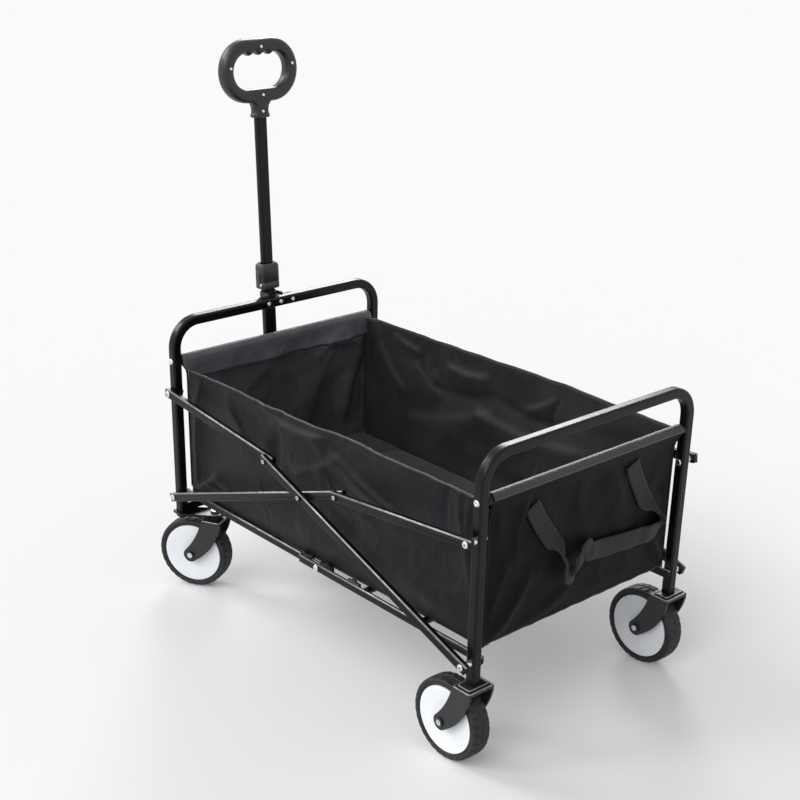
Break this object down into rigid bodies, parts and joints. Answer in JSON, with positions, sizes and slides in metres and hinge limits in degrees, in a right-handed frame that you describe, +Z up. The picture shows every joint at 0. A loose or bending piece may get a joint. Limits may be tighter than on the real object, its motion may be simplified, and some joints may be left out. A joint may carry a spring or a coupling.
{
  "type": "folding wagon",
  "caption": "Hand-pulled folding wagon with a cloth basket, hinged floor, side scissor links, swivel casters and a telescoping handle",
  "frame": {"origin": "centre of the wagon's box, on the floor that the wheels stand on", "axes": "X runs forward to the pull handle, Y to the left, Z up"},
  "size_m": [0.8486, 0.5092, 0.9565],
  "materials": {
    "black_paint": "gloss powder coat",
    "basket_cloth": "woven polyester",
    "floor_cloth": "woven polyester over a stiff board",
    "webbing": "woven webbing",
    "tyre": "moulded rubber",
    "wheel_disc": "smooth white",
    "zinc": "bright zinc",
    "black_plastic": "moulded black",
    "grey_plastic": "moulded dark grey",
    "grip_plastic": "satin black"
  },
  "bodies": {
    "front_frame": {"front_hoop": "black_paint", "front_upper_crossbar": "black_paint", "front_lower_crossbar": "black_paint", "front_pivot_pins": "zinc", "handle_bracket": "black_paint", "handle_clip": "black_plastic", "caster_bracket_left": "black_paint", "caster_bracket_right": "black_paint", "caster_kingpins": "zinc", "basket_front": "basket_cloth", "basket_side_left": "basket_cloth", "basket_side_right": "basket_cloth"},
    "rear_frame": {"rear_hoop": "black_paint", "rear_upper_crossbar": "black_paint", "rear_pivot_pins": "zinc", "rear_fork_left": "black_plastic", "rear_fork_right": "black_plastic", "rear_axle_left": "zinc", "rear_axle_right": "zinc", "basket_rear": "basket_cloth", "rear_strap": "webbing"},
    "floor_front": {"front_floor_rail_left": "black_paint", "front_floor_rail_right": "black_paint", "front_floor_tubes": "black_paint", "floor_hinge_rod": "zinc", "floor_board_front": "floor_cloth"},
    "floor_rear": {"rear_floor_rail_left": "black_paint", "rear_floor_rail_right": "black_paint", "rear_floor_tubes": "black_paint", "floor_board_rear": "floor_cloth"},
    "handle_lower": {"handle_lower_pole": "black_paint", "handle_collar": "grey_plastic"},
    "handle_upper": {"handle_upper_pole": "black_paint", "handle_grip": "grip_plastic"},
    "link_a_left": {"link_a_left": "black_paint"},
    "link_b_left": {"link_b_left": "black_paint"},
    "link_c_left": {"link_c_left": "black_paint"},
    "link_d_left": {"link_d_left": "black_paint"},
    "caster_left": {"caster_fork_left": "black_plastic", "caster_axle_left": "zinc"},
    "rear_wheel_left": {"rear_hub_left": "wheel_disc", "rear_tyre_left": "tyre"},
    "front_wheel_left": {"front_hub_left": "wheel_disc", "front_tyre_left": "tyre"},
    "link_a_right": {"link_a_right": "black_paint"},
    "link_b_right": {"link_b_right": "black_paint"},
    "link_c_right": {"link_c_right": "black_paint"},
    "link_d_right": {"link_d_right": "black_paint"},
    "caster_right": {"caster_fork_right": "black_plastic", "caster_axle_right": "zinc"},
    "rear_wheel_right": {"rear_hub_right": "wheel_disc", "rear_tyre_right": "tyre"},
    "front_wheel_right": {"front_hub_right": "wheel_disc", "front_tyre_right": "tyre"}
  },
  "joints": [
    {"name": "fold", "type": "hinge", "parent": "front_frame", "child": "link_c_left", "pos_m": [0.36173, 0.2387, 0.181], "axis": [0, 1, 0], "range_deg": [0, 50.47], "deforming": ["basket_side_left", "basket_side_right"]},
    {"name": "cross_left", "type": "hinge", "parent": "link_c_left", "child": "link_b_left", "pos_m": [-0.01827, 0.2479, 0.317], "axis": [0, 1, 0], "range_deg": [-100.93, 0]},
    {"name": "rear_leg_left", "type": "hinge", "parent": "link_b_left", "child": "rear_frame", "pos_m": [-0.39827, 0.2479, 0.181], "axis": [0, 1, 0], "range_deg": [0, 50.47]},
    {"name": "front_leg_right", "type": "hinge", "parent": "front_frame", "child": "link_c_right", "pos_m": [0.36173, -0.2387, 0.181], "axis": [0, 1, 0], "range_deg": [0, 50.47]},
    {"name": "cross_right", "type": "hinge", "parent": "link_c_right", "child": "link_b_right", "pos_m": [-0.01827, -0.2479, 0.317], "axis": [0, 1, 0], "range_deg": [-100.93, 0]},
    {"name": "front_short_left", "type": "hinge", "parent": "front_frame", "child": "link_a_left", "pos_m": [0.36173, 0.2387, 0.37916], "axis": [0, 1, 0], "range_deg": [0, 74.86]},
    {"name": "rear_short_left", "type": "hinge", "parent": "rear_frame", "child": "link_d_left", "pos_m": [-0.39827, 0.2479, 0.37916], "axis": [0, 1, 0], "range_deg": [-74.86, 0]},
    {"name": "front_short_right", "type": "hinge", "parent": "front_frame", "child": "link_a_right", "pos_m": [0.36173, -0.2387, 0.37916], "axis": [0, 1, 0], "range_deg": [0, 74.86]},
    {"name": "rear_short_right", "type": "hinge", "parent": "rear_frame", "child": "link_d_right", "pos_m": [-0.39827, -0.2479, 0.37916], "axis": [0, 1, 0], "range_deg": [-74.86, 0]},
    {"name": "floor_front_pivot", "type": "hinge", "parent": "front_frame", "child": "floor_front", "pos_m": [0.36173, 0, 0.181], "axis": [0, 1, 0], "range_deg": [0, 68.87]},
    {"name": "floor_middle", "type": "hinge", "parent": "floor_front", "child": "floor_rear", "pos_m": [-0.01827, 0, 0.181], "axis": [0, 1, 0], "range_deg": [-137.74, 0]},
    {"name": "caster_swivel_left", "type": "hinge", "parent": "front_frame", "child": "caster_left", "pos_m": [0.31823, 0.183, 0.1395], "axis": [0, 0, 1], "continuous": true},
    {"name": "front_wheel_spin_left", "type": "hinge", "parent": "caster_left", "child": "front_wheel_left", "pos_m": [0.35419, 0.20269, 0.067], "axis": [-0.4802, 0.8771, 0], "continuous": true},
    {"name": "rear_wheel_spin_left", "type": "hinge", "parent": "rear_frame", "child": "rear_wheel_left", "pos_m": [-0.35727, 0.225, 0.067], "axis": [0, 1, 0], "continuous": true},
    {"name": "caster_swivel_right", "type": "hinge", "parent": "front_frame", "child": "caster_right", "pos_m": [0.31823, -0.183, 0.1395], "axis": [0, 0, 1], "continuous": true},
    {"name": "front_wheel_spin_right", "type": "hinge", "parent": "caster_right", "child": "front_wheel_right", "pos_m": [0.35419, -0.16331, 0.067], "axis": [-0.4802, 0.8771, 0], "continuous": true},
    {"name": "rear_wheel_spin_right", "type": "hinge", "parent": "rear_frame", "child": "rear_wheel_right", "pos_m": [-0.35727, -0.225, 0.067], "axis": [0, 1, 0], "continuous": true},
    {"name": "handle_tilt", "type": "hinge", "parent": "front_frame", "child": "handle_lower", "pos_m": [0.37773, 0, 0.18], "axis": [0, 1, 0], "range_deg": [0, 95]},
    {"name": "handle_telescope", "type": "slide", "parent": "handle_lower", "child": "handle_upper", "axis": [0.0436, 0, 0.999], "range_m": [-0.235, 0]}
  ],
  "couplings": [
    {"joint": "cross_left", "follows": "fold", "ratio": -2},
    {"joint": "rear_leg_left", "follows": "fold", "ratio": 1},
    {"joint": "front_leg_right", "follows": "fold", "ratio": 1},
    {"joint": "cross_right", "follows": "fold", "ratio": -2},
    {"joint": "front_short_left", "follows": "fold", "ratio": 1.4834},
    {"joint": "rear_short_left", "follows": "fold", "ratio": -1.4834},
    {"joint": "front_short_right", "follows": "fold", "ratio": 1.4834},
    {"joint": "rear_short_right", "follows": "fold", "ratio": -1.4834},
    {"joint": "floor_front_pivot", "follows": "fold", "ratio": 1.3647},
    {"joint": "floor_middle", "follows": "fold", "ratio": -2.7293}
  ]
}
